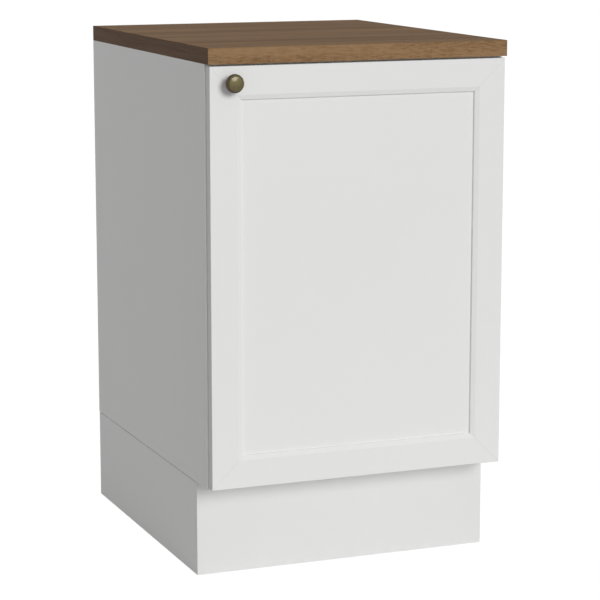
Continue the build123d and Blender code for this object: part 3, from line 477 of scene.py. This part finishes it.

# %% [markdown]
# ## The knob's antique bronze
# The dome is an olive metal.
# The rim carries painted shade: it is a little darker all round, and dark brown on its lower left, the side
# away from the light at the upper right.
# The stem behind the rim is dark too.
# A clear lacquer over it gives the small sharp highlight.
# The points of the mesh crowd together at the middle of the dome.
# They are joined there, and the shading is evened, or a false glint shows.

# %% Where shade is painted on the knob
RIM_START_SHARE = 0.76
RIM_FULL_SHARE = 0.86
SHADE_FULL_UNTIL = 0.1
SHADE_GONE_AT = 0.4
LIGHT_SIDE = (0.5, 0.86)
STEM_START = 0.006
STEM_FULL = 0.009
low, high = (Vector(corner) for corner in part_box("knob"))
knob_middle = (low + high) / 2
rim_radius = (high.x - low.x) / 2
print("knob middle", [round(v, 4) for v in knob_middle], "radius", round(rim_radius, 4))
bronze = Finish("antique_bronze", metal=0.85, rough=0.38)
off_x = bronze.calc(bronze.where("X"), knob_middle.x, "SUBTRACT")
off_z = bronze.calc(bronze.where("Z"), knob_middle.z, "SUBTRACT")
from_axis = bronze.calc(bronze.calc(off_x, 2.0, "POWER"), bronze.calc(off_z, 2.0, "POWER"))
from_axis = bronze.calc(from_axis, 0.5, "POWER")
rim_share = bronze.spread(from_axis, 0.0, 1.0, rim_radius * RIM_START_SHARE, rim_radius * RIM_FULL_SHARE)
# Painted shade: the rim turns dark brown towards its lower left, the side away from the light.
right_part = bronze.calc(off_x, LIGHT_SIDE[0], "MULTIPLY")
up_part = bronze.calc(off_z, LIGHT_SIDE[1], "MULTIPLY")
light_side_offset = bronze.calc(right_part, up_part)
away_from_light = bronze.spread(light_side_offset, 1.0, 0.0, rim_radius * SHADE_FULL_UNTIL, rim_radius * SHADE_GONE_AT)
painted_rim_shade = bronze.calc(rim_share, away_from_light, "MULTIPLY")
behind = bronze.spread(bronze.where("Y"), 0.0, 1.0, low.y + STEM_START, low.y + STEM_FULL)
shade_and_dark_stem = bronze.calc(painted_rim_shade, behind, "MAXIMUM")

# %% Bronze
OLIVE_DARK = (0.078, 0.062, 0.018)
OLIVE_PALE = (0.110, 0.090, 0.033)
UMBER_DARK = (0.044, 0.022, 0.005)
UMBER_PALE = (0.075, 0.039, 0.010)
RIM_PAINTED_SHADE = (0.85, 0.80, 0.60, 1.0)
LACQUER = {"Coat Weight": 0.6, "Coat Roughness": 0.14}
patina = bronze.noise((260, 260, 260), detail=4.0, rough=0.6)
umber = bronze.ramp(patina, (0.35, UMBER_DARK), (0.65, UMBER_PALE))
olive = bronze.ramp(patina, (0.35, OLIVE_DARK), (0.65, OLIVE_PALE))
# Painted shade: a tint darkens the whole rim a little.
olive = bronze.mix(rim_share, olive, bronze.mix(1.0, olive, RIM_PAINTED_SHADE, "MULTIPLY"))
for socket, value in LACQUER.items():
    bronze.shader.inputs[socket].default_value = value
# The painted shade on the rim and the dark stem both take the umber.
antique_bronze = bronze.finish(
    bronze.mix(shade_and_dark_stem, olive, umber),
    bronze.spread(patina, 0.44, 0.56),
    patina,
    depth=0.00008,
    strength=0.3,
)
wear(antique_bronze, "knob")

# %% Even shading on the dome
JOIN_DISTANCE = 0.00006
join = nodes["knob"].modifiers.new("join", "WELD")
join.merge_threshold = JOIN_DISTANCE
even = nodes["knob"].modifiers.new("even", "WEIGHTED_NORMAL")
even.keep_sharp = True
print("knob points joined within", JOIN_DISTANCE * 1000, "mm")

# %% [markdown]
# ## Soft bumpers
# Two clear plastic dots keep the door from knocking on the side panel.
# They could let light through, but are too small for it to show, so a milky white does.

# %% Bumpers
MILK_DARK = (0.70, 0.70, 0.68)
MILK_PALE = (0.78, 0.78, 0.76)
dot = Finish("bumper_plastic", rough=0.3)
milk = dot.noise((300, 300, 300))
milky = dot.ramp(milk, (0.3, MILK_DARK), (0.7, MILK_PALE))
bumper_plastic = dot.finish(milky, dot.spread(milk, 0.25, 0.4), milk, depth=0.00002)
wear(bumper_plastic, "door_bumpers")

# %% [markdown]
# ## Eased edges of the bottom panel
# A cut board has a hair of a rounding on its edges.
# So a fine line shows where a side stands on the bottom panel.
# A bevel modifier makes it, and leaves the mesh itself as it was built.
# The mesh comes with its faces apart, so a weld joins them first, because a bevel needs joined faces.

# %% Eased edges
EDGE_EASE = 0.0002
SAME_POINT = 0.000002
SHARP_ANGLE = 40
weld = nodes["bottom_panel"].modifiers.new("weld", "WELD")
weld.merge_threshold = SAME_POINT
ease = nodes["bottom_panel"].modifiers.new("ease", "BEVEL")
ease.width = EDGE_EASE
ease.segments = 1
ease.use_clamp_overlap = False
ease.limit_method = "ANGLE"
ease.angle_limit = math.radians(SHARP_ANGLE)
print("bottom panel eased by", EDGE_EASE * 1000, "mm")

# %% [markdown]
# ## Floor
# The cabinet stands on a plain white floor, which reaches past the edges of the picture.
# Rays from the camera, also by way of a glossy or clear surface, see mostly a glow.
# It is as white as the background, so next to no shadow shows on it.
# All other light meets a plain pale grey, and lights the cabinet from below.

# %% Floor
FLOOR_REACH = 30.0
floor_mesh = bpy.data.meshes.new("floor")
floor_corners = [(x * FLOOR_REACH, y * FLOOR_REACH, 0) for x, y in ((-1, -1), (1, -1), (1, 1), (-1, 1))]
floor_mesh.from_pydata(floor_corners, [], [(0, 1, 2, 3)])
floor = bpy.data.objects.new("floor", floor_mesh)
bpy.context.scene.collection.objects.link(floor)
print("floor", 2 * FLOOR_REACH, "m wide")

# %% Floor finish
GLOW_SHARE = 0.92
GLOW_STRENGTH = 1.08
GLOW_WHITE = (1.0, 1.0, 1.0, 1.0)
FLOOR_GREY = (0.65, 0.65, 0.65, 1.0)
paint = Finish("floor_white", rough=0.9)
paint.shader.inputs["Base Color"].default_value = FLOOR_GREY
rays = paint.tree.nodes.new("ShaderNodeLightPath").outputs
seen = paint.calc(rays["Is Camera Ray"], rays["Is Glossy Ray"], "MAXIMUM")
seen = paint.calc(seen, rays["Is Transmission Ray"], "MAXIMUM")
glow = paint.node("ShaderNodeEmission", Color=GLOW_WHITE, Strength=GLOW_STRENGTH)
blend = paint.tree.nodes.new("ShaderNodeMixShader")
paint.fill(blend.inputs[0], paint.calc(seen, GLOW_SHARE, "MULTIPLY"))
paint.fill(blend.inputs[1], paint.shader.outputs[0])
paint.fill(blend.inputs[2], glow.outputs[0])
paint.fill(paint.tree.nodes["Material Output"].inputs["Surface"], blend.outputs[0])
floor_mesh.materials.append(paint.material)
print(paint.material.name, "glows", GLOW_STRENGTH, "at a share of", GLOW_SHARE)

# %% [markdown]
# ## Background and ambient light
# The background is pure white to the camera. As a lamp it would be far too strong and flatten every shade.
# So the same world has two strengths, and the kind of ray picks one.

# %% World
AMBIENT = 0.313
BACKGROUND_WHITE = (1.0, 1.0, 1.0, 1.0)
world = bpy.data.worlds.new("studio")
bpy.context.scene.world = world
world.use_nodes = True
sky = world.node_tree
sky_rays = sky.nodes.new("ShaderNodeLightPath").outputs
either = sky.nodes.new("ShaderNodeMath")
either.operation = "MAXIMUM"
sky.links.new(sky_rays["Is Camera Ray"], either.inputs[0])
sky.links.new(sky_rays["Is Transmission Ray"], either.inputs[1])
any_seen = sky.nodes.new("ShaderNodeMath")
any_seen.operation = "MAXIMUM"
sky.links.new(either.outputs[0], any_seen.inputs[0])
sky.links.new(sky_rays["Is Glossy Ray"], any_seen.inputs[1])
strength = sky.nodes.new("ShaderNodeMapRange")
strength.inputs["To Min"].default_value = AMBIENT
strength.inputs["To Max"].default_value = 1.0
sky.links.new(any_seen.outputs[0], strength.inputs["Value"])
background = sky.nodes["Background"]
background.inputs["Color"].default_value = BACKGROUND_WHITE
sky.links.new(strength.outputs["Result"], background.inputs["Strength"])
print("ambient light", AMBIENT)

# %% [markdown]
# ## Light
# The front is bright from edge to edge, the left side is in soft shade, and the knob's shadow falls down.
# One sun lamp does that, because a sun lights every point of a flat front the same.
# Its angle sets how soft its shadows are. It stands low, so that the shadow under the door is short.
# It stands a little to the right, so that the left side stays in the shade.

# %% Lamp
def sun(name, azimuth, elevation, strength, softness):
    """A soft sun. Azimuth 0 is straight in front and 90 to the right. Angles are in degrees."""
    a, e = math.radians(azimuth), math.radians(elevation)
    away = Vector((math.sin(a) * math.cos(e), -math.cos(a) * math.cos(e), math.sin(e)))
    light = bpy.data.lights.new(name, "SUN")
    light.energy = strength
    light.angle = math.radians(softness)
    placed = bpy.data.objects.new(name, light)
    placed.location = away * 3
    placed.rotation_euler = away.to_track_quat("Z", "Y").to_euler()
    bpy.context.scene.collection.objects.link(placed)
    print(name, "azimuth", azimuth, "elevation", elevation)


sun("key_sun", azimuth=12.5, elevation=20, strength=1.60, softness=27)

# %% [markdown]
# ## Camera
# The camera stands in front and to the left, a little above the cabinet, and looks slightly down.
# Place, direction and lens come from a fit of the cabinet's corners to where they lie in the photograph.

# %% Camera
CAMERA_PLACE = (-1.37189, -3.46922, 1.07572)
CAMERA_YAW = 0.3799
CAMERA_PITCH = 0.1815
FOCAL_PIXELS = 2245.1
PICTURE_PIXELS = 600
camera = bpy.data.cameras.new("camera")
camera.sensor_width = 36.0
camera.lens = FOCAL_PIXELS / PICTURE_PIXELS * camera.sensor_width
viewer = bpy.data.objects.new("camera", camera)
viewer.location = CAMERA_PLACE
viewer.rotation_euler = (math.pi / 2 - CAMERA_PITCH, 0.0, -CAMERA_YAW)
bpy.context.scene.collection.objects.link(viewer)
bpy.context.scene.camera = viewer
bpy.context.scene.view_settings.view_transform = "Standard"
print("lens", round(camera.lens, 2), "mm")
